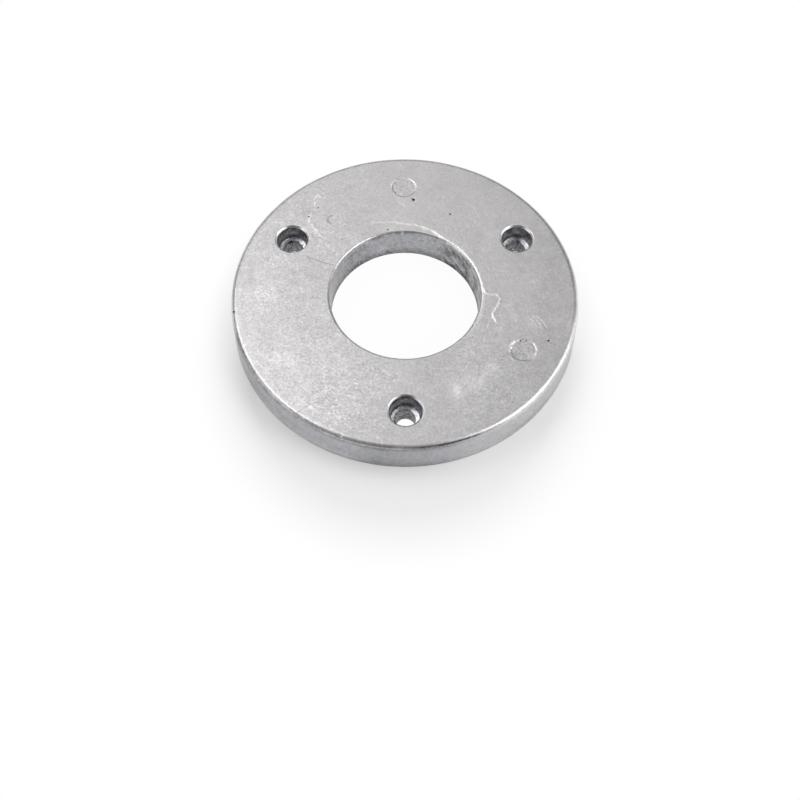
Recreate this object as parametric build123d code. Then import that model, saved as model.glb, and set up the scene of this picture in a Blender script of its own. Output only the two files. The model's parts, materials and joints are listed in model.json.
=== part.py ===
from build123d import *
from math import radians, tan
import os

# A flat ring anode, cast in one piece.
# The origin is the centre of the underside, and +Z is the axis of the bore, towards the counterbored top face.

# Ring, in millimetres and degrees
foot_d = 120.0  # across the foot of the outer wall, where the ring is widest
bore_d = 51.5  # the central bore is straight, because it fits round a hub
thickness = 13.0
wall_draft = 1.5  # lean of the outer wall, so that the casting leaves its mould
rim_edge_r = 1.8  # round between the top face and the outer wall
bore_edge_r = 1.0  # round between the top face and the bore
foot_chamfer = 0.3  # trims the edges of the underside

# Screw holes
hole_count = 3
first_hole_angle = 30.0  # from +X, towards +Y
rim_to_hole = 14.25  # from the foot of the outer wall in to a hole's axis
screw_hole_d = 6.4
head_bore_d = 10.4  # counterbore for the screw's head, just under its chamfered mouth
head_bore_depth = 6.0
head_bore_draft = 1.5
mouth_chamfer = 0.7
seat_corner_r = 0.6  # round between the counterbore's wall and its seat
exit_chamfer = 0.7  # where a screw hole leaves through the underside

# Marks that the mould's ejector pins press into the top face, midway between neighbouring holes
pin_mark_d = 8.0  # across the floor of a mark
pin_mark_depth = 0.28
pin_mark_slope = 0.7  # how much wider the mark's rim is than its floor, on each side
marked_gaps = (0, 2)  # counted from the gap that follows the first hole

# Sizes that follow from those above
hole_circle_r = foot_d / 2 - rim_to_hole
gap_angle = 360 / hole_count
overshoot = 1.0  # a cutting solid reaches this far past the faces that it opens


def circular_edges(part, height_group):
    """The part's round edges at one height, counted from the lowest, the smallest circle first."""
    return part.edges().filter_by(GeomType.CIRCLE).group_by(Axis.Z)[height_group].sort_by(SortBy.RADIUS)


def ring_blank():
    """The ring without holes: a drafted outer wall, a straight bore and eased edges."""
    top_r = foot_d / 2 - thickness * tan(radians(wall_draft))
    outside = Cone(foot_d / 2, top_r, thickness, align=(Align.CENTER, Align.CENTER, Align.MIN))
    bore = Cylinder(bore_d / 2, thickness, align=(Align.CENTER, Align.CENTER, Align.MIN))
    ring = outside - bore
    ring = fillet(circular_edges(ring, -1)[-1], rim_edge_r)
    ring = fillet(circular_edges(ring, -1)[0], bore_edge_r)
    return chamfer(circular_edges(ring, 0), foot_chamfer)


def screw_core():
    """The solid that a counterbored screw hole takes out of the ring, standing on the origin."""
    screw_r = screw_hole_d / 2
    head_r = head_bore_d / 2
    seat_z = thickness - head_bore_depth
    wall_height = head_bore_depth - mouth_chamfer
    seat_r = head_r - wall_height * tan(radians(head_bore_draft))
    mouth_r = head_r + mouth_chamfer
    with BuildPart() as core:
        with BuildSketch(Plane.XZ):
            with BuildLine():
                Polyline(
                    (0, -overshoot),
                    (screw_r + exit_chamfer + overshoot, -overshoot),
                    (screw_r, exit_chamfer),
                    (screw_r, seat_z),
                    (seat_r, seat_z),
                    (head_r, thickness - mouth_chamfer),
                    (mouth_r + overshoot, thickness + overshoot),
                    (0, thickness + overshoot),
                    close=True,
                )
            make_face()
        revolve(axis=Axis.Z)
        seat_edges = core.edges().filter_by(GeomType.CIRCLE).filter_by_position(Axis.Z, seat_z, seat_z)
        fillet(seat_edges.sort_by(SortBy.RADIUS)[-1], seat_corner_r)
    return core.part


def pin_mark_core():
    """The shallow disc that an ejector pin presses into the top face, with a sloping rim."""
    slope = pin_mark_slope / pin_mark_depth
    floor_r = pin_mark_d / 2
    height = pin_mark_depth + overshoot
    disc = Cone(floor_r, floor_r + slope * height, height, align=(Align.CENTER, Align.CENTER, Align.MIN))
    return Pos(0, 0, thickness - pin_mark_depth) * disc


def anode_ring():
    """The whole casting."""
    ring = ring_blank()
    for place in PolarLocations(hole_circle_r, hole_count, first_hole_angle):
        ring -= place * screw_core()
    for gap in marked_gaps:
        mark_angle = first_hole_angle + (gap + 0.5) * gap_angle
        ring -= Rot(0, 0, mark_angle) * Pos(hole_circle_r, 0, 0) * pin_mark_core()
    return ring


os.makedirs("parts", exist_ok=True)
export_step(anode_ring(), "parts/anode_ring.step")
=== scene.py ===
import json
from math import atan2, cos, degrees, hypot, pi, radians, sin, tan

import bpy
import numpy as np
from mathutils import Matrix, Vector


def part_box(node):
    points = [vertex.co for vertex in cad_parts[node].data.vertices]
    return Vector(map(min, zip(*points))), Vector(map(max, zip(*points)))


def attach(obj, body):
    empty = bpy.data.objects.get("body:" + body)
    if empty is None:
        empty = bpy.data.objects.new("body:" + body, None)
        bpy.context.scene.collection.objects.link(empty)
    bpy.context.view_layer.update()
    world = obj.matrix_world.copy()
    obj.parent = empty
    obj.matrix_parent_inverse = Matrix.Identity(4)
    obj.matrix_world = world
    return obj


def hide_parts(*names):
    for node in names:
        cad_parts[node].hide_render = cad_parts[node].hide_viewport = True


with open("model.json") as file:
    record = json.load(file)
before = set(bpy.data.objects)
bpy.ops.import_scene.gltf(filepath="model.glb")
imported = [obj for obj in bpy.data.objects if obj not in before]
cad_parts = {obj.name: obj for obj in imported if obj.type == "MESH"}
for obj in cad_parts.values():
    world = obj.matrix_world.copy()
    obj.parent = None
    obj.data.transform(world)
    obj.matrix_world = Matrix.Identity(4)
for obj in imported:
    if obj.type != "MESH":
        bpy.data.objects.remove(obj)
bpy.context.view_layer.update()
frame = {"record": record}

# The ring's sizes in millimetres, from the frame
MM = 0.001
node_low, node_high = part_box("anode_ring")
mounts = {mount["name"]: mount["dims"] for mount in frame["record"]["mounts"]}
THICKNESS = node_high.z / MM
BORE_R = mounts["bore"]["r_mm"]
HOLE_CIRCLE_R = mounts["screw_holes"]["pcd_mm"] / 2
HOLE_COUNT = mounts["screw_holes"]["count"]
SCREW_R = mounts["screw_holes"]["hole_r_mm"]

# Sizes that the frame doesn't name
WALL_DRAFT = 1.5  # degrees
FOOT_CHAMFER = 0.3
FOOT_R = node_high.x / MM + FOOT_CHAMFER * tan(radians(WALL_DRAFT))
RIM_ROUND = 1.8
BORE_ROUND = 1.0
HEAD_R = 5.2  # counterbore under its chamfer
HEAD_DEPTH = 6.0
MOUTH_CHAMFER = 0.7
MOUTH_ROUND = 0.7  # softens both edges of that chamfer
SEAT_ROUND = 0.6
EXIT_CHAMFER = 0.7
CORNER_ROUND = 0.12  # the small radius that casting leaves on every other corner
FIRST_HOLE_ANGLE = 30
HOLE_ANGLES = [FIRST_HOLE_ANGLE + k * 360 // HOLE_COUNT for k in range(HOLE_COUNT)]
MARK_ANGLES = [90, 330]
MARK_R = 4.0
MARK_DEPTH = 0.28
MARK_SLOPE = 0.7
SEAT_DIP = 0.33  # how far the seat of a counterbore falls towards the screw hole
SKIN = 0.07  # how far the general surface lies inside the nominal one, so that ridges stay in the box

# Camera, fitted to the photograph's perspective
IMAGE_SIZE = 800
SENSOR = 36.0
LENS = 53.3
CAMERA_ELEVATION = 57.28
CAMERA_AZIMUTH = -0.73
CAMERA_ROLL = -0.54
CAMERA_DISTANCE = 0.4192
AIM_PIXEL = (404.73, 313.32)  # where the centre of the underside shows in the image

# The floor that is seen turns to plain white outside the ring's shadow, which falls towards the front
SHADOW_CENTRE = (0, -15)
SHADOW_SQUEEZE = 1.12  # how much narrower the shadow is from left to right
SHADOW_START = 50
SHADOW_END = 84
SHADOW_LIFT = 0.25  # share of plain white in the shadow
HUB_LIFT = 0.96  # share of plain white in the floor under the bore
BACKDROP_R = 3.0  # metres
BACKDROP_RISE = 12  # how high the backdrop's wall reaches, in degrees above the floor as the ring sees it

# Soft lamps: name, azimuth and elevation in degrees, distance, width and height in metres, radiance
LAMPS = [
    ("left", 148, 54, 0.9, 0.5, 0.5, 1.8),
    ("right", -3, 45, 0.9, 0.65, 0.75, 2.4),
    ("front right", -34, 42, 0.9, 0.5, 0.7, 0.9),
    ("side", 198, 26, 0.9, 0.4, 0.4, 1.6),
    ("overhead", 104, 57, 1.0, 0.75, 0.9, 0.80),
]
WORLD_LIGHT = 0.28

# Mesh density
AROUND = 576  # steps round the ring; each hole and mark falls on a whole step
FINE_STEPS = 28  # next to the bore, where the face has its finest relief
FINE_WIDTH = 6.6
FACE_STEPS = 62  # from there to the rim
WALL_STEPS = 10
UNDERSIDE_STEPS = 6
PATCH_HALF = 18  # steps from a hole's axis to the side of its patch
PATCH_SPARE = 3  # how many more steps it reaches towards the bore and towards the rim
UNDER_PATCH_HALF = 8.4  # how far it reaches towards the bore and the rim on the underside, in millimetres
HOLE_STRIPS = 6  # strips of faces between the side of a patch and the hole
MARK_STRIPS = 7


def smoothstep(low, high, value):
    """0 on low's side, 1 on high's side, and a smooth change between them. Low may be the larger."""
    t = np.clip((value - low) / (high - low), 0, 1)
    return t * t * (3 - 2 * t)


def band(value, low, start, end, high):
    """1 from start to end, falling smoothly to 0 at low and at high."""
    return smoothstep(low, start, value) * smoothstep(high, end, value)


def bell(value, middle, width):
    """1 at the middle, falling off on both sides."""
    return np.exp(-((value - middle) / width) ** 2)


def on_circle(angle):
    """Where the axis of the screw hole or pin mark at an angle stands."""
    return HOLE_CIRCLE_R * cos(radians(angle)), HOLE_CIRCLE_R * sin(radians(angle))


def polar(at, centre=(0, 0)):
    """How far each place lies from a centre, and in which direction, in degrees."""
    x = at[:, 0] - centre[0]
    y = at[:, 1] - centre[1]
    return np.hypot(x, y), np.degrees(np.arctan2(y, x))


def arc(centre, radius, start, end, steps):
    """Points of a circular arc, angles in degrees."""
    angles = [radians(start + (end - start) * k / steps) for k in range(steps + 1)]
    return [(centre[0] + radius * cos(a), centre[1] + radius * sin(a)) for a in angles]


def line(start, end, steps):
    """Points from start to end, without either."""
    (x0, y0), (x1, y1) = start, end
    return [(x0 + (x1 - x0) * k / steps, y0 + (y1 - y0) * k / steps) for k in range(1, steps)]


def eased(corners, radius, steps):
    """An open line through the corners, each inner corner rounded by an arc of steps + 1 points."""
    points = [corners[0]]
    for before, corner, after in zip(corners, corners[1:], corners[2:]):
        into = (Vector(before) - Vector(corner)).normalized()
        out = (Vector(after) - Vector(corner)).normalized()
        half = into.angle(out) / 2
        reach = radius / tan(half)
        centre = Vector(corner) + (into + out).normalized() * radius / sin(half)
        start = Vector(corner) + into * reach - centre
        end = Vector(corner) + out * reach - centre
        first = atan2(start.y, start.x)
        turn = (atan2(end.y, end.x) - first + pi) % (2 * pi) - pi
        points += arc(centre, radius, degrees(first), degrees(first + turn), steps)
    return points + [corners[-1]]


def ring_section():
    """The ring's closed section as (radius, height) points, and where its face and underside lie in it."""
    draft = radians(WALL_DRAFT)
    face_z = THICKNESS
    lean = degrees(draft)
    rim_r = FOOT_R - face_z * tan(draft)
    round_x = rim_r - RIM_ROUND * (1 / cos(draft) - tan(draft))
    face_start = BORE_R + BORE_ROUND
    fine_end = face_start + FINE_WIDTH
    points = [(face_start + FINE_WIDTH * k / FINE_STEPS, face_z) for k in range(FINE_STEPS)]
    points += [(fine_end + (round_x - fine_end) * k / FACE_STEPS, face_z) for k in range(FACE_STEPS + 1)]
    face_last = len(points) - 1
    points += arc((round_x, face_z - RIM_ROUND), RIM_ROUND, 90, lean, steps=8)[1:]
    wall_top = points[-1]
    wall_foot = (FOOT_R - FOOT_CHAMFER * tan(draft), FOOT_CHAMFER)
    foot = (FOOT_R - FOOT_CHAMFER, 0)
    bore_foot = (BORE_R + FOOT_CHAMFER, 0)
    bore_low = (BORE_R, FOOT_CHAMFER)
    bore_top = (BORE_R, face_z - BORE_ROUND)
    points += line(wall_top, wall_foot, WALL_STEPS) + [wall_foot]
    points += line(wall_foot, foot, steps=2)
    under_first = len(points)
    points += [foot] + line(foot, bore_foot, UNDERSIDE_STEPS) + [bore_foot]
    under_last = len(points) - 1
    points += line(bore_foot, bore_low, steps=2)
    points += [bore_low] + line(bore_low, bore_top, WALL_STEPS)
    points += arc((face_start, face_z - BORE_ROUND), BORE_ROUND, 180, 90, steps=6)[:-1]
    return points, (0, face_last), (under_first, under_last)


def hole_section():
    """A screw hole's section from the face down to the underside, as (radius, height) points."""
    seat_z = THICKNESS - HEAD_DEPTH
    seat_r = HEAD_R - (HEAD_DEPTH - MOUTH_CHAMFER) * tan(radians(WALL_DRAFT))
    mouth_r = HEAD_R + MOUTH_CHAMFER
    chamfer_z = THICKNESS - MOUTH_CHAMFER
    mouth_corners = [(mouth_r + 0.3, THICKNESS), (mouth_r, THICKNESS), (HEAD_R, chamfer_z), (HEAD_R, seat_z)]
    mouth = eased(mouth_corners, MOUTH_ROUND, steps=3)[:-1]
    seat_arc = arc((seat_r - SEAT_ROUND, seat_z + SEAT_ROUND), SEAT_ROUND, 0, -90, steps=5)
    wall = line(mouth[-1], seat_arc[0], steps=7)
    exit_corners = [(SCREW_R, seat_z), (SCREW_R, EXIT_CHAMFER), (SCREW_R + EXIT_CHAMFER, 0)]
    shank = eased(seat_arc[-1:] + exit_corners, CORNER_ROUND, steps=2)[1:]
    seat = line(seat_arc[-1], shank[0], steps=5)
    shank_wall = line(shank[2], shank[3], steps=6)
    return mouth + wall + seat_arc + seat + shank[:3] + shank_wall + shank[3:]


def mark_section():
    """A pin mark's section from the face to its middle, as (radius, height) points."""
    floor_z = THICKNESS - MARK_DEPTH
    rim_r = MARK_R + MARK_SLOPE
    corners = [(rim_r + 0.9, THICKNESS), (rim_r, THICKNESS), (MARK_R, floor_z), (1.0, floor_z)]
    points = eased(corners, 3 * CORNER_ROUND, steps=3)[:-1]
    lip = line(points[0], points[1], steps=5)
    slope = line(points[4], points[5], steps=2)
    floor = line(points[-1], (0, floor_z), steps=12)
    return points[:1] + lip + points[1:5] + slope + points[5:] + floor


class Shell:
    """A closed mesh that is put together from loops of points."""

    def __init__(self):
        self.points = []
        self.faces = []

    def add(self, points):
        """Adds points and returns their numbers."""
        first = len(self.points)
        self.points += [tuple(p) for p in points]
        return list(range(first, len(self.points)))

    def strip(self, outer, inner):
        """Quads between two closed loops of equal length that run counterclockwise, seen from outside."""
        count = len(outer)
        for k in range(count):
            after = (k + 1) % count
            self.faces.append((outer[k], outer[after], inner[after], inner[k]))

    def fan(self, loop, middle):
        """Triangles from a closed loop to one point."""
        for k, number in enumerate(loop):
            self.faces.append((number, loop[(k + 1) % len(loop)], middle))

    def zipper(self, outer, inner, centre):
        """Triangles between two closed loops of different length round centre, clockwise from outside."""
        def turned(loop):
            angles = [atan2(self.points[n][1] - centre[1], self.points[n][0] - centre[0]) for n in loop]
            start = angles.index(min(angles))
            numbers = loop[start:] + loop[:start]
            return numbers + numbers[:1], angles[start:] + angles[:start] + [angles[start] + 2 * pi]

        a, a_angles = turned(outer)
        b, b_angles = turned(inner)
        i = j = 0
        while i < len(outer) or j < len(inner):
            if j == len(inner) or (i < len(outer) and a_angles[i + 1] < b_angles[j + 1]):
                self.faces.append((a[i + 1], a[i], b[j]))
                i += 1
            else:
                self.faces.append((a[i], b[j], b[j + 1]))
                j += 1

    def mesh(self, name):
        """The Blender mesh, in millimetres, without points that no face uses."""
        used = sorted({number for face in self.faces for number in face})
        renumber = {old: new for new, old in enumerate(used)}
        mesh = bpy.data.meshes.new(name)
        faces = [tuple(renumber[number] for number in face) for face in self.faces]
        mesh.from_pydata([self.points[number] for number in used], [], faces)
        mesh.update()
        return mesh


def patch_loop(grid, middle, low, high):
    """The border of a patch in the grid, counterclockwise from above. low is the column nearer the bore."""
    first = middle - PATCH_HALF
    last = middle + PATCH_HALF
    step = 1 if high > low else -1
    loop = [grid[first % AROUND][k] for k in range(low, high, step)]
    loop += [grid[k % AROUND][high] for k in range(first, last)]
    loop += [grid[last % AROUND][k] for k in range(high, low, -step)]
    loop += [grid[k % AROUND][low] for k in range(last, first, -1)]
    return loop


def face_patch(shell, border, centre, section, strips):
    """Loops from the patch's border to the section, then down it. Returns the last loop."""
    directions = [atan2(shell.points[n][1] - centre[1], shell.points[n][0] - centre[0]) for n in border]

    def circle(radius):
        return [(centre[0] + radius * cos(a), centre[1] + radius * sin(a)) for a in directions]

    rim = circle(section[0][0])
    outer = border
    for k in range(1, strips):
        share = k / strips
        points = []
        for number, (x, y) in zip(border, rim):
            px, py, pz = shell.points[number]
            points.append((px + (x - px) * share, py + (y - py) * share, pz))
        inner = shell.add(points)
        shell.strip(outer, inner)
        outer = inner
    for radius, height in section:
        inner = shell.add((x, y, height) for x, y in circle(radius))
        shell.strip(outer, inner)
        outer = inner
    return outer


def ring_shell():
    """The nominal ring with its holes and pin marks, closed and without surface detail."""
    section, face, underside = ring_section()
    columns = len(section)
    shell = Shell()
    grid = []
    for step in range(AROUND):
        turn = 2 * pi * step / AROUND
        grid.append(shell.add((r * cos(turn), r * sin(turn), z) for r, z in section))
    radii = np.array([r for r, z in section])
    face_middle = int(np.argmin(np.abs(radii[face[0]:face[1]] - HOLE_CIRCLE_R)))
    face_low = face_middle - PATCH_HALF - PATCH_SPARE
    face_high = face_middle + PATCH_HALF + PATCH_SPARE
    from_circle = radii[underside[0]:underside[1]] - HOLE_CIRCLE_R
    under_high = underside[0] + int(np.argmin(np.abs(from_circle - UNDER_PATCH_HALF)))
    under_low = underside[0] + int(np.argmin(np.abs(from_circle + UNDER_PATCH_HALF)))

    open_cells = set()
    steps_per_degree = AROUND / 360
    for angle in HOLE_ANGLES + MARK_ANGLES:
        middle = round(angle * steps_per_degree)
        for step in range(middle - PATCH_HALF, middle + PATCH_HALF):
            open_cells.update((step % AROUND, column) for column in range(face_low, face_high))
            if angle in HOLE_ANGLES:
                open_cells.update((step % AROUND, column) for column in range(under_high, under_low))
    for step in range(AROUND):
        here = grid[step]
        beyond = grid[(step + 1) % AROUND]
        for column in range(columns):
            if (step, column) not in open_cells:
                right = (column + 1) % columns
                shell.faces.append((here[column], here[right], beyond[right], beyond[column]))

    for angle in HOLE_ANGLES + MARK_ANGLES:
        middle = round(angle * steps_per_degree)
        centre = on_circle(angle)
        border = patch_loop(grid, middle, face_low, face_high)
        if angle in HOLE_ANGLES:
            exit_loop = face_patch(shell, border, centre, hole_section(), HOLE_STRIPS)
            under_border = patch_loop(grid, middle, under_low, under_high)
            shell.zipper(under_border, exit_loop, centre)
        else:
            section_line = mark_section()
            last = face_patch(shell, border, centre, section_line, MARK_STRIPS)
            middle_point = shell.add([(centre[0], centre[1], section_line[-1][1])])[0]
            shell.fan(last, middle_point)
    return shell


def from_camera(points):
    """Places on the face as the photograph shows them, turned with the camera."""
    turn = radians(CAMERA_AZIMUTH)
    return [(x * cos(turn) - y * sin(turn), x * sin(turn) + y * cos(turn)) for x, y in points]


def smooth_line(points, per_span=8):
    """More points along a smooth curve through the given ones."""
    p = np.array([points[0]] + list(points) + [points[-1]], float)
    result = []
    for a, b, c, d in zip(p, p[1:], p[2:], p[3:]):
        slope = c - a
        bend = 2 * a - 5 * b + 4 * c - d
        twist = 3 * b - a - 3 * c + d
        for t in np.arange(per_span) / per_span:
            result.append(0.5 * (2 * b + slope * t + bend * t**2 + twist * t**3))
    return np.array(result + [p[-1]])


def distance_to(points, at):
    """How far each place lies from a line through points, its share along it, and its side: left is 1."""
    best = np.full(len(at), 1e9)
    share = np.zeros(len(at))
    side = np.zeros(len(at))
    count = len(points) - 1
    for k in range(count):
        a = points[k]
        run = points[k + 1] - a
        length_squared = max(run @ run, 1e-12)
        t = np.clip(((at - a) @ run) / length_squared, 0, 1)
        gap = at - a - t[:, None] * run
        distance = np.hypot(gap[:, 0], gap[:, 1])
        nearer = distance < best
        best = np.where(nearer, distance, best)
        share = np.where(nearer, (k + t) / count, share)
        side = np.where(nearer, np.sign(run[0] * gap[:, 1] - run[1] * gap[:, 0]), side)
    return best, share, side


def waves(at, wavelength, seed, count=36):
    """Smooth random relief of about unit height whose features are about wavelength across."""
    random = np.random.default_rng(seed)
    directions = random.normal(size=(count, at.shape[1]))
    directions /= np.linalg.norm(directions, axis=1)[:, None]
    numbers = 2 * pi / (wavelength * random.uniform(0.7, 1.5, count))
    phases = random.uniform(0, 2 * pi, count)
    total = np.zeros(len(at))
    for direction, number, phase in zip(directions, numbers, phases):
        total += np.cos(at @ direction * number + phase)
    return total / np.sqrt(count / 2)


# Painted light and shade on the outer wall round the ring, standing in for what it reflects: angle in
# degrees, change
WALL_PAINTED_LIGHT = [
    (10, 0.0), (180, 0.0), (190, 0.12), (200, -0.11), (208, -0.11), (220, 0.01), (235, 0.06), (250, 0.0),
    (262, -0.12), (276, -0.08), (290, 0.03), (305, 0.08), (325, 0.03), (340, -0.07), (355, 0.24),
]
# Painted light and shade on parts of the wall and the rim. Four angles in degrees and four heights say where
# a change begins, is full, is full to and ends, and the last number says how much lighter or darker the metal
# is.
WALL_PAINTED_LIGHT_BANDS = [
    ((205, 215, 246, 256), (3.0, 5.5, 11.5, 14.0), -0.05),
    ((205, 215, 246, 256), (-1.9, 0.6, 2.0, 4.5), 0.05),
    ((198, 204, 212, 218), (11.3, 11.7, 12.5, 12.9), 0.08),
    ((238, 246, 268, 276), (11.7, 12.2, 12.85, 13.35), 0.22),
    ((278, 284, 291, 297), (12.25, 12.4, 12.75, 12.9), -0.25),
    ((298, 306, 338, 346), (11.5, 11.9, 12.75, 13.15), 0.13),
    ((326, 334, 346, 354), (12.0, 12.3, 12.8, 13.1), 0.24),
    ((298, 306, 328, 336), (0.2, 1.4, 3.2, 4.4), -0.10),
    ((330, 338, 346, 354), (-3.0, 0.0, 3.0, 6.0), -0.08),
    ((250, 262, 280, 292), (-6.0, -3.0, 1.0, 4.0), -0.08),
]
# Three more, each with its change: painted shade under the rim, and a painted dark line and a painted
# highlight where the rim begins
UNDER_RIM = (188, 200, 282, 296)
UNDER_RIM_PAINTED_SHADE = -0.18
CREASE = (126, 140, 178, 192)
CREASE_PAINTED_SHADE = -0.07
RIM_LINE = (210, 230, 290, 306)
RIM_LINE_HIGHLIGHT = 0.25
RIM_LINE_WIDTH = 0.35

# Painted light and shade on the parts of a screw hole: highlights on the mouth and shade on its far side,
# shade down the wall with random patches, a glint, shade and a thin highlight on the seat, and shade in the
# shank
MOUTH_HIGHLIGHT = 0.25
MOUTH_FAR_SHADE = -0.13
MOUTH_PAINTED_SHEEN = 0.20
HOLE_WALL_SHADE = -0.10
HOLE_WALL_TOP_SHADE = -0.13
HOLE_WALL_PATCHES = 0.05
SEAT_SHADE = -0.08
SEAT_GLINT = 0.42
SEAT_INNER_SHADE = -0.24
SEAT_BEHIND_SHADE = -0.14
SEAT_LINE_HIGHLIGHT = 0.12
SEAT_LINE_R = 4.2
SHANK_SHADE = -0.39

# Painted shade on the bore's wall: all of it, more where it is mottled, near its foot, and at the back left
BORE_SHADE = 0.17
BORE_MOTTLED_SHADE = 0.18
BORE_FOOT_SHADE = 0.18
BORE_LEFT_SHADE = 0.08

# Stretches of the bore's edge, in degrees: where each begins, is full, is full to and ends
SOFT_EDGE = (-4, 3, 58, 66)
WORN_EDGE = (-48, -35, -4, 5)
LAPPED_EDGE = (60, 68, 112, 124)
LIT_EDGE = (0, 5, 60, 66)
PALE_EDGE = (-48, -35, -4, 2)
DARK_EDGE = (76, 84, 114, 122)
# How far the first three are worn down, and the painted highlights on the next two and the painted shade on
# the last
SOFT_EDGE_DROP = 0.25
SOFT_EDGE_WIDTH = 1.5
WORN_EDGE_DROP = 0.16
LAPPED_EDGE_DROP = 0.08
LIT_EDGE_HIGHLIGHT = 0.24
PALE_EDGE_HIGHLIGHT = 0.07
DARK_EDGE_PAINTED_SHADE = -0.13

# The swell of the cast skin: height, wavelength, seed
SWELLS = [(0.020, 14, 1), (0.006, 5, 2), (0.003, 1.8, 3)]
SWELL_LIMIT = 0.05
SWELL_SHARE = 0.9

# Marks of the casting on the face, in millimetres, as the photograph shows them
# The lips of folds, and lines along which the metal flowed together: x, y, how much they stand out
LAP_LIP = [
    (-13.5, 29.6, 0.2), (-9.0, 30.1, 0.4), (-5.1, 30.3, 0.5), (0, 29.5, 0.6), (4.3, 28.8, 0.7),
    (7.3, 27.6, 0.9), (9.6, 26.6, 1.0), (10.9, 25.6, 1.0), (12.2, 24.4, 0.9), (13.6, 23.1, 0.5),
]
ZIGZAG = [
    (26.9, 3.0, 0.4), (27.3, 1.5, 0.9), (28.2, 0.1, 0.9), (29.6, -0.4, 0.6), (31.5, -0.2, 0.8),
    (32.3, -1.6, 0.7), (32.4, -3.2, 0.7), (31.4, -5.2, 0.5), (29.9, -7.6, 0.9), (30.0, -8.9, 1.0),
    (30.4, -10.2, 1.0), (31.0, -11.8, 0.8),
]
LEFT_FLOW = [
    (-31.7, 42.3, 0.8), (-32.8, 40.0, 0.8), (-32.5, 37.3, 0.6), (-33.0, 34.7, 0.6), (-34.0, 33.0, 0.8),
    (-34.4, 30.8, 0.9), (-33.4, 29.0, 0.8), (-32.3, 27.7, 0.8), (-30.7, 24.9, 0.9), (-29.1, 23.1, 0.5),
]
BRANCH = [(-31.7, 42.3, 0.8), (-30.7, 41.0, 0.7), (-28.9, 40.6, 0.4)]
# Points, how far the metal drops below a fold or rises along a flow, how much painted highlight lies along
# it, how ragged
FOLDS = [(LAP_LIP, 0.10, 0.20, 0.2), (ZIGZAG, 0.06, 0.20, 0.3)]
FLOWS = [(LEFT_FLOW, 0.11, 0.18, 0.8), (BRANCH, 0.09, 0.14, 0.8)]
LIP_HEIGHT = 0.05
LIP_WANDER = 0.13
LIP_FADE = 0.06  # share of a line over which each of its ends dies away
FLOW_TROUGH = 0.05
# Parts that the material draws once more as thin painted highlights: points, how much lighter
HIGHLIGHT_LINES = [(LEFT_FLOW, 0.07), (BRANCH, 0.07), (ZIGZAG[-6:], 0.14)]
HIGHLIGHT_LINE_WIDTH = 0.65
# Places rubbed to specks, lighter or darker patches, places of coarser grain: x, y, reach, strength
SPECKLED = [
    (-23, -43, 11, 1.0), (-8, -54, 7, 0.5), (-42, -27, 9, 0.2), (-49, -2, 7, 0.7), (-28, 20, 8, 0.4),
    (-46, 13, 6, 0.6), (-2, -34, 6, 0.4), (24, -22, 7, 0.35), (30, -13, 6, 0.3), (-37, 36, 7, 0.4),
    (-12, -32, 7, 0.3), (30, -42, 9, 0.4),
]
PATCHES = [
    (18.0, -38.5, 2.6, 0.12), (23.0, -34.5, 3.6, 0.09), (28.5, -30.5, 3.5, 0.07), (35.0, -4.2, 1.8, 0.06),
    (37.2, -9.5, 1.5, 0.05), (-39.5, -27.0, 4.0, 0.04), (-36.5, 35.5, 3.5, -0.03), (8.0, -30.0, 6.0, -0.03),
    (-30.0, 9.0, 6.0, -0.02), (42.5, -24.6, 1.4, 0.06), (46.0, 38.0, 5.0, 0.02), (-6.0, 28.4, 3.5, 0.02),
]
COARSE_SPOTS = [(28, -30, 15, 0.5), (-34, -34, 22, 0.5)]
# Pits of trapped gas, and nicks: x, y, radius
PITS = [
    (2.8, 40.3, 0.62), (48.4, -18.6, 0.44), (16.0, 33.9, 0.36), (-34.5, 32.2, 0.36), (-31.3, 36.3, 0.28),
    (-6.2, 26.9, 0.28), (39.0, -18.7, 0.30), (40.8, -18.7, 0.28), (24.2, -12.6, 0.25), (-58.2, -8.1, 0.45),
]
NICKS = [(-20.5, -55.3, 0.8), (-1.2, 25.8, 0.5)]
# Their depth and width as shares of the radius, and the painted highlight on a nick's edge
PIT_DEPTH = 0.5
PIT_WIDTH = 0.75
NICK_DEPTH = 0.45
NICK_WIDTH = 0.7
NICK_HIGHLIGHT = 0.50
NICK_HIGHLIGHT_SHIFT = 0.4
NICK_HIGHLIGHT_WIDTH = 0.8
# Parts of the pin marks' rims that are raised and carry a painted highlight: mark, from and to in degrees,
# radius, height, how much lighter
MARK_EDGES = [
    (90, -15, 72, 4.15, 0.0, 0.14),
    (90, 118, 186, 4.65, 0.12, 0.36),
    (90, 165, 262, 4.2, 0.0, 0.10),
    (330, -38, 70, 4.15, 0.0, 0.12),
    (330, 116, 196, 4.65, 0.12, 0.32),
    (330, 140, 240, 4.2, 0.0, 0.12),
    (330, 200, 250, 5.2, 0.05, 0.14),
]
MARK_EDGE_WIDTH = 0.26
MARK_EDGE_FADE = 18  # degrees over which each end dies away
# The floor of a pin mark: roughness, how far its outline wanders, width of its worn slope, depth
MARK_ROUGHNESS = 0.009
MARK_WANDER = 0.06
MARK_WORN = 0.4
MARK_FLOOR = 0.5 * MARK_DEPTH
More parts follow.
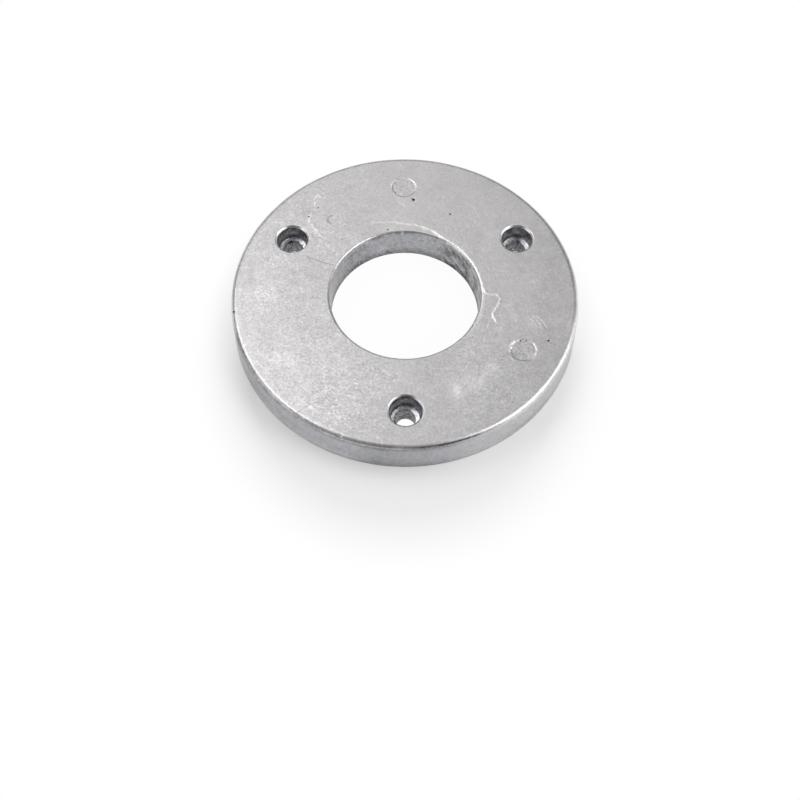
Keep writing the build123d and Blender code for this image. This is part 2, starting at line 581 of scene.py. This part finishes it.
# Fine scratches and the dark hairline, drawn by the material: points, width, how much lighter or darker
SCRATCHES = [
    ([(-34.3, 14.8), (-31.3, 13.5), (-28.7, 12.5), (-24.9, 11.3)], 0.45, -0.24),
    ([(-34.3, 25.0), (-31.3, 22.8)], 0.35, -0.10),
    ([(24.3, 37.3), (25.2, 34.8), (26.2, 32.6)], 0.40, 0.10),
    ([(43.4, -8.3), (45.4, -11.4), (46.3, -13.8)], 0.70, 0.22),
    ([(44.7, -8.8), (46.9, -11.0), (48.0, -13.4)], 0.65, 0.22),
    ([(42.0, -9.2), (43.7, -11.2), (44.6, -13.2)], 0.60, 0.16),
    ([(28.7, -10.8), (27.9, -13.6)], 0.60, 0.18),
    ([(16.2, -36.4), (19.0, -31.5), (22.8, -25.6)], 0.60, 0.08),
    ([(-35.3, 4.0), (-35.0, -9.0)], 0.40, 0.05),
    ([(-51.0, 2.6), (-47.6, -2.6), (-44.4, -6.8)], 0.34, 0.14),
    ([(-49.4, 2.2), (-46.0, -2.4)], 0.30, 0.12),
    ([(-51.6, -0.6), (-48.4, -5.4)], 0.30, 0.11),
    ([(-47.0, 0.6), (-43.6, -4.0)], 0.28, 0.10),
    ([(-43.2, -24.0), (-38.4, -29.6)], 0.50, 0.06),
    ([(3.0, 48.2), (3.3, 44.2)], 0.60, 0.12),
    ([(34.6, -6.0), (36.6, -8.0), (37.8, -10.8), (38.0, -14.2)], 0.60, 0.09),
    ([(-26.3, 32.8), (-27.6, 31.8), (-27.7, 30.3), (-26.6, 29.1)], 0.95, -0.21),
    ([(-26.5, 30.7), (-25.2, 32.0)], 0.50, 0.08),
    ([(-40.6, 1.4), (-39.6, 2.4), (-38.6, 1.4), (-39.0, -0.6), (-40.2, -0.6), (-40.6, 1.4)], 0.36, 0.08),
]


def at_face(x, y, at):
    """The distance of each place from a place that the photograph shows on the face."""
    (px, py), = from_camera([(x, y)])
    return np.hypot(at[:, 0] - px, at[:, 1] - py)


def mark_edge(at, mark, start, end, rim_r):
    """1 on a part of a pin mark's rim, falling to 0 beside it and towards its ends."""
    radius, angle = polar(at, on_circle(mark))
    span = end - start
    along = band((angle - start) % 360, 0, MARK_EDGE_FADE, span - MARK_EDGE_FADE, span)
    return along * bell(radius, rim_r, MARK_EDGE_WIDTH)


def lip_of(line_points, at):
    """How far each place lies from a lip, more than 0 on its upper side, and the lip's strength there."""
    curve = smooth_line(from_camera([(x, y) for x, y, strength in line_points]))
    strengths = [strength for x, y, strength in line_points]
    distance, share, side = distance_to(curve, at)
    strength = np.interp(share, np.linspace(0, 1, len(strengths)), strengths)
    strength *= band(share, 0, LIP_FADE, 1 - LIP_FADE, 1)
    return distance * side + LIP_WANDER * waves(at, 2.4, 27), strength


def face_relief(at):
    """How far the casting's marks lift or sink the face at each place, in millimetres."""
    radius, angle = polar(at)
    relief = np.zeros(len(at))
    for points, drop, light, ragged in FOLDS:
        side, strength = lip_of(points, at)
        relief -= drop * strength * band(side, -4.5, -1.2, -0.45, 0.1)
        relief += LIP_HEIGHT * strength * bell(side, 0.15, 0.33)
    for points, height, light, ragged in FLOWS:
        side, strength = lip_of(points, at)
        relief += height * strength * bell(side, 0, 0.38)
        relief -= FLOW_TROUGH * strength * band(side, 0, 0.5, 1.0, 3.0)

    from_bore = radius - BORE_R
    soft = np.clip((SOFT_EDGE_WIDTH - from_bore) / SOFT_EDGE_WIDTH, 0, 1) ** 2
    relief -= SOFT_EDGE_DROP * band(angle, *SOFT_EDGE) * soft
    relief -= WORN_EDGE_DROP * band(angle, *WORN_EDGE) * smoothstep(1.9, 0.2, from_bore)
    relief -= LAPPED_EDGE_DROP * band(angle, *LAPPED_EDGE) * smoothstep(3.5, 0.3, from_bore)

    for x, y, r in PITS:
        relief -= PIT_DEPTH * r * bell(at_face(x, y, at), 0, PIT_WIDTH * r)
    for x, y, r in NICKS:
        relief -= NICK_DEPTH * r * bell(at_face(x, y, at), 0, NICK_WIDTH * r)
    return relief


def mark_relief(co):
    """Turns the nominal pin marks into worn, uneven ones with a lip of pushed-up metal here and there."""
    at = co[:, :2]
    relief = np.zeros(len(at))
    rough = MARK_ROUGHNESS * waves(at, 1.4, 21)
    wander = MARK_WANDER * waves(at, 1.8, 23)
    sunk = THICKNESS - co[:, 2]
    foot_r = MARK_R + MARK_SLOPE
    for mark in MARK_ANGLES:
        radius = polar(at, on_circle(mark))[0]
        near = smoothstep(foot_r + 1.1, foot_r + 0.7, radius) * (sunk < 1)
        pressed = np.clip((MARK_R + MARK_WORN - radius - wander) / MARK_WORN, 0, 1)
        relief += near * (sunk - MARK_FLOOR * pressed + rough * pressed)
    for mark, start, end, rim_r, height, light in MARK_EDGES:
        relief += height * mark_edge(at, mark, start, end, rim_r) * (sunk < 1)
    return relief


def seat_relief(co):
    """How far the seat of each counterbore dips towards its screw hole."""
    seat_z = THICKNESS - HEAD_DEPTH
    seat_end = HEAD_R - 0.25
    at_seat = band(co[:, 2], seat_z - 3, seat_z, seat_z + 0.2, seat_z + 1.0)
    relief = np.zeros(len(co))
    for angle in HOLE_ANGLES:
        radius = polar(co, on_circle(angle))[0]
        relief -= SEAT_DIP * np.clip((seat_end - radius) / (seat_end - SCREW_R), 0, 1) * at_seat
    return relief


def hole_tone(co):
    """Where a place lies in a screw hole, and the painted light and shade on the metal there."""
    seat_z = THICKNESS - HEAD_DEPTH
    chamfer_z = THICKNESS - MOUTH_CHAMFER
    mouth_r = HEAD_R + MOUTH_CHAMFER
    z = co[:, 2]
    inside = np.zeros(len(co))
    light = np.zeros(len(co))
    patchy = waves(co, 1.5, 31)
    mouth = smoothstep(chamfer_z - 0.1, chamfer_z + 0.1, z)
    above_seat = smoothstep(seat_z + 0.3, seat_z + 1.0, z)
    wall = above_seat * (1 - mouth)
    shank = smoothstep(seat_z - 0.2, seat_z - 0.8, z)
    seat = (1 - above_seat) * (1 - shank)
    # Painted shade down the hole's wall, deeper towards the top, with random patches
    wall_painted_shade = HOLE_WALL_SHADE + HOLE_WALL_TOP_SHADE * smoothstep(seat_z + 1.5, THICKNESS - 1.5, z)
    wall_painted_shade += HOLE_WALL_PATCHES * patchy
    for angle in HOLE_ANGLES:
        radius, turn = polar(co, on_circle(angle))
        near = smoothstep(mouth_r + 0.15, mouth_r - 0.1, radius)
        far = band(turn, 52, 72, 104, 120)
        # Painted highlights: the mouth's lit side, the glint on the seat's right side and the thin line on
        # the seat. Painted shade: the mouth's far side, the seat near the shank and behind, and the shank
        lit = smoothstep(108, 122, turn) + 0.4 * band(turn, 0, 15, 50, 62)
        rub_and_glint = band(turn, -35, -15, 48, 72)
        inner_shade = smoothstep(4.15, 3.75, radius + 0.5 * rub_and_glint)
        rub_and_glint *= np.clip(1 + 0.5 * patchy, 0, 1.4)
        behind = band(turn, 30, 55, 140, 170) * smoothstep(4.3, 4.6, radius)
        mouth_painted_light = MOUTH_HIGHLIGHT * lit + MOUTH_FAR_SHADE * far + MOUTH_PAINTED_SHEEN * (1 - lit) * (1 - far)
        seat_painted_light = SEAT_SHADE + SEAT_GLINT * rub_and_glint * (1 - inner_shade) + SEAT_INNER_SHADE * inner_shade
        seat_painted_light += SEAT_BEHIND_SHADE * behind + SEAT_LINE_HIGHLIGHT * bell(radius, SEAT_LINE_R, 0.22)
        inside += near * (1 - mouth)
        light += near * (mouth * mouth_painted_light + wall * wall_painted_shade + seat * seat_painted_light + shank * SHANK_SHADE)
    return inside, light


def painted_wall_light(co):
    """The painted light and shade on the outer wall and the rim at each place."""
    z = co[:, 2]
    radius, angle = polar(co)
    turn = angle % 360
    rim_start = FOOT_R - THICKNESS * tan(radians(WALL_DRAFT)) - RIM_ROUND
    outer = smoothstep(FOOT_R - 6, FOOT_R - 3, radius) * smoothstep(THICKNESS - 0.1, THICKNESS - 0.4, z)
    # Painted light and shade round the wall, standing in for what it reflects
    tone = np.interp(turn, *zip(*WALL_PAINTED_LIGHT), period=360)
    for turns, heights, change in WALL_PAINTED_LIGHT_BANDS:
        tone += change * band(turn, *turns) * band(z, *heights)
    tone *= outer
    # Painted shade under the rim and along the crease where it begins, and a painted highlight just inside it
    under_rim = band(z, THICKNESS - 2.8, THICKNESS - 1.0, THICKNESS - 0.5, THICKNESS - 0.15)
    tone += UNDER_RIM_PAINTED_SHADE * band(turn, *UNDER_RIM) * under_rim
    crease = bell(radius, rim_start + 0.1, RIM_LINE_WIDTH) * (z > THICKNESS / 2)
    tone += CREASE_PAINTED_SHADE * band(turn, *CREASE) * crease
    rim_line = bell(radius, rim_start + 0.5, RIM_LINE_WIDTH) * smoothstep(THICKNESS - 0.5, THICKNESS - 0.2, z)
    return tone + RIM_LINE_HIGHLIGHT * band(turn, *RIM_LINE) * rim_line


def wear_of(co):
    """How worn the metal is at each place, from 0 to 1."""
    wear = np.full(len(co), 0.12)
    for x, y, reach, strength in SPECKLED:
        wear += strength * bell(at_face(x, y, co), 0, reach)
    return np.clip(wear + 0.12 * waves(co, 9, 11), 0, 1)


def grain_of(at):
    """How coarse the grain of the face is at each place."""
    grain = 0.95 + 0.4 * smoothstep(5, -30, at[:, 0]) - 0.25 * smoothstep(15, 40, at[:, 1])
    for x, y, reach, strength in COARSE_SPOTS:
        grain += strength * bell(at_face(x, y, at), 0, reach)
    for mark in MARK_ANGLES:
        grain += 0.8 * smoothstep(MARK_R + 0.6, MARK_R - 0.2, polar(at, on_circle(mark))[0])
    return grain


def face_tone(co):
    """How much lighter or darker the face is at each place: random patches, and painted highlights and shade.
    """
    at = co[:, :2]
    radius, angle = polar(at)
    tone = np.zeros(len(at))
    uneven = 1 + 0.35 * waves(co, 3.0, 12)
    for x, y, reach, strength in PATCHES:
        tone += strength * uneven * np.exp(-(at_face(x, y, at) / reach) ** 4)
    clumps = waves(at, 1.7, 33)
    # A painted highlight along each fold and flow line, broken into clumps
    for points, height, light, ragged in FOLDS + FLOWS:
        side, strength = lip_of(points, at)
        tone += light * strength * np.clip(1 + ragged * clumps, 0, 2) * bell(side, 0, 0.42)
    # A painted highlight on the lit edge of each nick
    for x, y, r in NICKS:
        shift = NICK_HIGHLIGHT_SHIFT * r
        tone += NICK_HIGHLIGHT * bell(at_face(x + shift, y + shift, at), 0, NICK_HIGHLIGHT_WIDTH * r)

    from_bore = radius - BORE_R
    crest = 0.8 + 0.12 * waves(at, 2.2, 25)
    broken = np.clip(1 + 0.5 * waves(at, 2.6, 24), 0, 2)
    # Painted highlights along the lit stretches of the bore's edge, and painted shade along its dark stretch
    tone += LIT_EDGE_HIGHLIGHT * band(angle, *LIT_EDGE) * bell(from_bore, crest, 0.45)
    tone += PALE_EDGE_HIGHLIGHT * band(angle, *PALE_EDGE) * bell(from_bore, 0.9, 0.7)
    tone += DARK_EDGE_PAINTED_SHADE * band(angle, *DARK_EDGE) * broken * smoothstep(0.75, 0.2, from_bore)
    # Painted highlights on parts of the pin marks' rims
    flaked = np.clip(1 + 0.4 * waves(at, 1.3, 28), 0, 1.6)
    for mark, start, end, rim_r, height, light in MARK_EDGES:
        tone += light * flaked * mark_edge(at, mark, start, end, rim_r)
    # Painted shade over the front of the face, deeper towards the rim
    front_shade = band(angle, -125, -100, -30, -12)
    return tone - (0.015 + 0.035 * smoothstep(36, 54, radius)) * front_shade


def finish_of(co):
    """How worn, how coarse, how much lighter or darker with painted light and shade, and how bluish the metal
    is at each place.
    """
    radius, angle = polar(co)
    z = co[:, 2]
    face = smoothstep(THICKNESS - 1.6, THICKNESS - 0.9, z)
    below = smoothstep(THICKNESS - 0.5, THICKNESS - 1.2, z)
    in_bore = below * smoothstep(BORE_R + 0.5, BORE_R + 0.1, radius)
    in_hole, hole_painted_light = hole_tone(co)
    right_wall = band(angle, -30, 0, 40, 75)
    mottled = np.clip(0.8 + 0.5 * waves(co, 5, 13) + 0.35 * waves(co, 2, 14), 0, 1.6)
    # Painted shade on the bore's wall, mottled at its right, deeper near its foot and at the back left
    shade = BORE_SHADE + BORE_MOTTLED_SHADE * right_wall * mottled
    shade += BORE_FOOT_SHADE * smoothstep(4.6, 0.6, z) + BORE_LEFT_SHADE * smoothstep(105, 135, angle)
    outside = smoothstep(FOOT_R - 6, FOOT_R - 3, radius)
    right_front = band(angle, -82, -62, 5, 25) * outside
    # The tone holds random patches and the painted light and shade of the face, wall, rim, holes and bore
    return {
        "wear": wear_of(co) * face,
        "coarse": grain_of(co[:, :2]) + 1.6 * in_hole + 0.5 * in_bore,
        "tone": face_tone(co) * face + painted_wall_light(co) + hole_painted_light - shade * in_bore,
        "cool": in_hole + (0.25 + 0.5 * right_wall) * in_bore - 0.6 * right_front * (1 - face),
    }


def cast_surface(mesh):
    """Moves the nominal mesh's points to give it the casting's relief, and stores what the material needs."""
    count = len(mesh.vertices)
    co = np.zeros(count * 3)
    mesh.vertices.foreach_get("co", co)
    co = co.reshape(-1, 3)
    normal = np.zeros(count * 3)
    mesh.vertices.foreach_get("normal", normal)
    normal = normal.reshape(-1, 3)

    face = smoothstep(THICKNESS - 1.7, THICKNESS - 0.5, co[:, 2])
    lift = face_relief(co[:, :2]) * face + mark_relief(co) + seat_relief(co)
    swell = sum(height * waves(co, wavelength, seed) for height, wavelength, seed in SWELLS)
    swell = SWELL_SHARE * np.clip(swell, -SWELL_LIMIT, SWELL_LIMIT)
    off_floor = smoothstep(0.0, 0.6, co[:, 2])
    moved = co + normal * ((swell - SKIN) * off_floor)[:, None]
    moved[:, 2] += lift
    moved = np.clip(moved, np.array(node_low) / MM, np.array(node_high) / MM)
    mesh.vertices.foreach_set("co", (moved * MM).ravel())
    mesh.update()
    for name, values in finish_of(co).items():
        mesh.attributes.new(name, "FLOAT", "POINT").data.foreach_set("value", values)


# The metal's brightness, its limits, what is left of it in a pit under painted shade, its roughness, and the
# depth of its grain
METAL_VALUE = 0.54
DARKEST = 0.03
LIGHTEST = 0.92
PIT_SHADE = 0.12
METAL_ROUGHNESS = 0.34
GRAIN_DEPTH = 0.02
# Shares of that brightness in red, green and blue, where the metal is bluish and where it is plain
BLUISH_TINT = (0.98, 0.985, 1.035)
PLAIN_TINT = (1.0, 0.978, 0.990)


class Graph:
    """Short names for the materials' shader nodes. A value is a number or a node's output."""

    def __init__(self, material):
        material.use_nodes = True
        self.tree = material.node_tree
        self.place = self.add("ShaderNodeTexCoord").outputs["Object"]
        self.flat = self.vector("MULTIPLY", self.place, (1, 1, 0))

    def add(self, kind, inputs=(), **settings):
        """A new node with its inputs and settings."""
        node = self.tree.nodes.new(kind)
        for name, value in settings.items():
            setattr(node, name, value)
        for socket, value in inputs:
            self.set(node.inputs[socket], value)
        return node

    def set(self, socket, value):
        """Gives an input a number, or links it to a node's output."""
        if isinstance(value, bpy.types.NodeSocket):
            self.tree.links.new(value, socket)
        else:
            socket.default_value = value

    def math(self, operation, *values):
        return self.add("ShaderNodeMath", enumerate(values), operation=operation).outputs[0]

    def vector(self, operation, *values):
        """A vector operation. Its output is the vector, or the number where the operation gives one."""
        node = self.add("ShaderNodeVectorMath", enumerate(values), operation=operation)
        return node.outputs["Value" if operation in ("DOT_PRODUCT", "DISTANCE", "LENGTH") else "Vector"]

    def near_point(self, x, y, radius):
        """1 round a place on the face, given in millimetres, falling to 0 a little outside the radius."""
        distance = self.vector("DISTANCE", self.flat, (x * MM, y * MM, 0))
        return self.step(distance, 0.55 * radius * MM, 1.15 * radius * MM, 1.0, 0.0)

    def near_line(self, points, width):
        """1 on a line on the face, in millimetres, falling to 0 a little over half its width away."""
        nearest = None
        for (x0, y0), (x1, y1) in zip(points, points[1:]):
            length = hypot(x1 - x0, y1 - y0)
            along = ((x1 - x0) / length, (y1 - y0) / length, 0)
            offset = self.vector("SUBTRACT", self.flat, (x0 * MM, y0 * MM, 0))
            run = self.math("MAXIMUM", self.vector("DOT_PRODUCT", offset, along), 0)
            run = self.math("MINIMUM", run, length * MM)
            foot = self.add("ShaderNodeVectorMath", [(0, along), ("Scale", run)], operation="SCALE")
            distance = self.vector("DISTANCE", offset, foot.outputs[0])
            nearest = distance if nearest is None else self.math("MINIMUM", nearest, distance)
        return self.step(nearest, 0.15 * width * MM, 0.55 * width * MM, 1.0, 0.0)

    def stretched(self, angle, along):
        """Places turned by angle in degrees about Z, then drawn out along their new X."""
        inputs = [("Vector", self.place), ("Angle", radians(angle))]
        turned = self.add("ShaderNodeVectorRotate", inputs, rotation_type="Z_AXIS")
        return self.vector("MULTIPLY", turned.outputs[0], (1 / along, 1, 1))

    def noise(self, size, detail=2.0, rough=0.5, place=None):
        """Cloudy noise between 0 and 1 whose features are about size millimetres across."""
        inputs = [("Vector", place or self.place), ("Scale", 1 / (size * MM))]
        inputs += [("Detail", detail), ("Roughness", rough)]
        return self.add("ShaderNodeTexNoise", inputs).outputs["Fac"]

    def step(self, value, low, high, start=0.0, end=1.0):
        """A smooth change from start to end as value goes from low to high."""
        inputs = [("Value", value), ("From Min", low), ("From Max", high)]
        inputs += [("To Min", start), ("To Max", end)]
        return self.add("ShaderNodeMapRange", inputs, interpolation_type="SMOOTHSTEP").outputs[0]

    def scaled(self, value, amount):
        """Noise turned into a change of up to amount either way."""
        return self.math("MULTIPLY", self.math("SUBTRACT", value, 0.5), 2 * amount)

    def sum(self, *values):
        """The sum of two or more values."""
        total = values[0]
        for value in values[1:]:
            total = self.math("ADD", total, value)
        return total

    def attribute(self, name):
        """A number that the mesh holds for each of its points."""
        return self.add("ShaderNodeAttribute", attribute_name=name).outputs["Fac"]


def cast_metal():
    """Cast metal: satin, with fine grain, mottling, rubbed streaks and bright specks where it is worn."""
    material = bpy.data.materials.new("cast_metal")
    graph = Graph(material)
    wear = graph.attribute("wear")
    # The tone brings random patches and painted light and shade
    tone = graph.attribute("tone")
    coarse = graph.attribute("coarse")
    cool = graph.attribute("cool")
    clouds = graph.noise(9, 3)
    blotches = graph.noise(2.6, 3, 0.6)
    grain = graph.noise(0.8, 3, 0.65)
    fine = graph.noise(0.42, 2, 0.6)
    rub_and_glint = graph.noise(0.6, 2, 0.5, graph.stretched(38, 6))
    flecks = graph.noise(1.1, 4, 0.7)
    height = graph.add("ShaderNodeSeparateXYZ", [(0, graph.place)]).outputs["Z"]
    face = graph.step(height, (THICKNESS - 1.2) * MM, (THICKNESS - 0.7) * MM)

    pits = 0.0
    for x, y, radius in PITS:
        (px, py), = from_camera([(x, y)])
        pits = graph.math("MAXIMUM", pits, graph.near_point(px, py, radius))
    pits = graph.math("MULTIPLY", pits, face)
    drawn = 0.0
    for points, width, light in SCRATCHES:
        mark = graph.math("MULTIPLY", graph.near_line(from_camera(points), width), light)
        drawn = graph.math("ADD", drawn, mark)
    # Thin painted highlights along parts of the fold and flow lines
    for points, light in HIGHLIGHT_LINES:
        places = from_camera([(x, y) for x, y, strength in points])
        mark = graph.math("MULTIPLY", graph.near_line(places, HIGHLIGHT_LINE_WIDTH), light)
        drawn = graph.math("ADD", drawn, mark)
    in_grain = graph.step(grain, 0.34, 0.52, 0.35, 1.0)
    drawn = graph.math("MULTIPLY", graph.math("MULTIPLY", drawn, face), in_grain)

    fleck = graph.math("MULTIPLY", graph.step(flecks, 0.50, 0.68), wear)
    streak = graph.math("MULTIPLY", graph.step(rub_and_glint, 0.56, 0.74), graph.math("ADD", wear, 0.25))
    value = graph.sum(
        METAL_VALUE,
        graph.scaled(clouds, 0.05),
        graph.math("MULTIPLY", graph.scaled(blotches, 0.09), coarse),
        graph.math("MULTIPLY", graph.scaled(grain, 0.20), coarse),
        graph.math("MULTIPLY", graph.scaled(fine, 0.06), coarse),
        graph.math("MULTIPLY", fleck, 0.25),
        graph.math("MULTIPLY", streak, 0.10),
        tone,
        drawn,
    )
    # Painted shade in the pits
    value = graph.math("MULTIPLY", value, graph.step(pits, 0.0, 1.0, 1.0, PIT_SHADE))
    value = graph.math("MINIMUM", graph.math("MAXIMUM", value, DARKEST), LIGHTEST)
    tint = graph.step(graph.math("SUBTRACT", face, cool), 0.0, 1.0)
    channels = []
    for channel, bluish, plain in zip(("Red", "Green", "Blue"), BLUISH_TINT, PLAIN_TINT):
        share = graph.step(tint, 0.0, 1.0, bluish, plain)
        channels.append((channel, graph.math("MULTIPLY", value, share)))
    colour = graph.add("ShaderNodeCombineColor", channels).outputs[0]
    roughness = graph.sum(
        METAL_ROUGHNESS,
        graph.scaled(blotches, 0.05),
        graph.scaled(grain, 0.10),
        graph.math("MULTIPLY", fleck, -0.08),
        graph.math("MULTIPLY", cool, 0.06),
        graph.math("MULTIPLY", pits, 0.4),
    )
    relief = graph.sum(
        graph.scaled(blotches, 0.5),
        graph.scaled(grain, 0.8),
        graph.math("MULTIPLY", fleck, 0.5),
        graph.math("MULTIPLY", streak, -0.3),
        graph.math("MULTIPLY", drawn, 3.0),
        graph.math("MULTIPLY", pits, -3.0),
    )
    inputs = [("Strength", 1.0), ("Distance", GRAIN_DEPTH * MM), ("Height", relief)]
    bump = graph.add("ShaderNodeBump", inputs).outputs["Normal"]
    shader = graph.tree.nodes["Principled BSDF"]
    shader.inputs["Metallic"].default_value = 1.0
    graph.set(shader.inputs["Base Color"], colour)
    graph.set(shader.inputs["Roughness"], roughness)
    graph.set(shader.inputs["Normal"], bump)
    return material


def anode_ring():
    """The ring: the nominal form with the casting's relief."""
    mesh = ring_shell().mesh("anode_casting")
    cast_surface(mesh)
    mesh.shade_smooth()
    mesh.materials.append(cast_metal())
    ring = bpy.data.objects.new("anode_casting", mesh)
    bpy.context.collection.objects.link(ring)
    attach(ring, "root")
    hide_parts("anode_ring")


def stage_piece(name, points, faces, material):
    """A piece of the studio."""
    mesh = bpy.data.meshes.new(name)
    mesh.from_pydata(points, [], faces)
    mesh.materials.append(material)
    piece = bpy.data.objects.new(name, mesh)
    bpy.context.collection.objects.link(piece)


def studio_paper(name, with_shadow):
    """Pale paper. What is seen of it, straight or in the metal, turns plain white outside the shadow."""
    material = bpy.data.materials.new(name)
    graph = Graph(material)
    paper = graph.add("ShaderNodeBsdfDiffuse", [("Color", (0.9, 0.9, 0.9, 1))])
    white = graph.add("ShaderNodeEmission", [("Color", (1, 1, 1, 1)), ("Strength", 1.0)])
    path = graph.add("ShaderNodeLightPath").outputs
    lift = graph.math("MAXIMUM", path["Is Camera Ray"], path["Is Glossy Ray"])
    lift = graph.math("MAXIMUM", lift, path["Is Transmission Ray"])
    if with_shadow:
        radius = graph.vector("LENGTH", graph.flat)
        squeezed = graph.vector("MULTIPLY", graph.flat, (SHADOW_SQUEEZE, 1, 1))
        from_shadow = graph.vector("DISTANCE", squeezed, (SHADOW_CENTRE[0] * MM, SHADOW_CENTRE[1] * MM, 0))
        outside = graph.step(from_shadow, SHADOW_START * MM, SHADOW_END * MM)
        under = graph.step(radius, BORE_R * MM, (BORE_R + 3) * MM, HUB_LIFT, 1.0)
        within = graph.step(radius, (FOOT_R - 4) * MM, (FOOT_R - 1) * MM, 1.0, 0.0)
        under = graph.math("MULTIPLY", under, within)
        lightest = graph.math("MAXIMUM", graph.math("MAXIMUM", outside, under), SHADOW_LIFT)
        lift = graph.math("MULTIPLY", lift, lightest)
    mix = graph.add("ShaderNodeMixShader", [(0, lift), (1, paper.outputs[0]), (2, white.outputs[0])])
    graph.set(graph.tree.nodes["Material Output"].inputs["Surface"], mix.outputs[0])
    return material


def studio_backdrop():
    """The paper that the ring lies on, and a low wall of it all round."""
    z = -0.05 * MM
    sides = 64
    foot = [(x, y, z) for x, y in arc((0, 0), BACKDROP_R, 0, 360, sides)[:-1]]
    top = [(x, y, z + BACKDROP_R * tan(radians(BACKDROP_RISE))) for x, y, z in foot]
    wall = [(k, (k + 1) % sides, sides + (k + 1) % sides, sides + k) for k in range(sides)]
    stage_piece("floor", foot, [tuple(range(sides))], studio_paper("floor", True))
    stage_piece("backdrop", foot + top, wall, studio_paper("backdrop", False))


def softbox(name, azimuth, elevation, distance, width, height, radiance):
    """A large soft lamp that faces the ring. Azimuth is counted from +X towards +Y, sizes are in metres."""
    a = radians(azimuth)
    e = radians(elevation)
    place = Vector((cos(e) * cos(a), cos(e) * sin(a), sin(e))) * distance
    lamp = bpy.data.lights.new(name, "AREA")
    lamp.shape = "RECTANGLE"
    lamp.size = width
    lamp.size_y = height
    lamp.energy = radiance * pi * width * height
    lamp_object = bpy.data.objects.new(name, lamp)
    lamp_object.location = place
    lamp_object.rotation_euler = place.to_track_quat("Z", "Y").to_euler()
    bpy.context.collection.objects.link(lamp_object)


def studio_light():
    """An even light all round, and the soft lamps."""
    world = bpy.data.worlds.new("studio")
    world.use_nodes = True
    background = world.node_tree.nodes["Background"]
    background.inputs["Color"].default_value = (1, 1, 1, 1)
    background.inputs["Strength"].default_value = WORLD_LIGHT
    bpy.context.scene.world = world
    for lamp in LAMPS:
        softbox(*lamp)


def photo_camera():
    """The camera at the photograph's viewpoint."""
    tilt = radians(CAMERA_ELEVATION)
    turn = Matrix.Rotation(radians(CAMERA_AZIMUTH), 3, "Z")
    back = turn @ Vector((0, -cos(tilt), sin(tilt)))
    right = turn @ Vector((1, 0, 0))
    up = back.cross(right)
    focal = LENS / SENSOR * IMAGE_SIZE
    offset = Vector(((AIM_PIXEL[0] - IMAGE_SIZE / 2) / focal, (IMAGE_SIZE / 2 - AIM_PIXEL[1]) / focal, 1))
    aim = Vector((0, 0, 1)).rotation_difference(offset.normalized()).to_matrix()
    axes = aim @ Matrix.Rotation(radians(CAMERA_ROLL), 3, "Z") @ Matrix((right, up, -back))
    rotation = Matrix((axes[0], axes[1], -axes[2])).transposed()
    data = bpy.data.cameras.new("camera")
    data.sensor_width = SENSOR
    data.lens = LENS
    data.clip_start = 0.01
    camera = bpy.data.objects.new("camera", data)
    camera.matrix_world = Matrix.Translation(back * CAMERA_DISTANCE) @ rotation.to_4x4()
    bpy.context.collection.objects.link(camera)
    bpy.context.scene.camera = camera


anode_ring()
studio_backdrop()
studio_light()
photo_camera()
bpy.context.scene.view_settings.view_transform = "Standard"
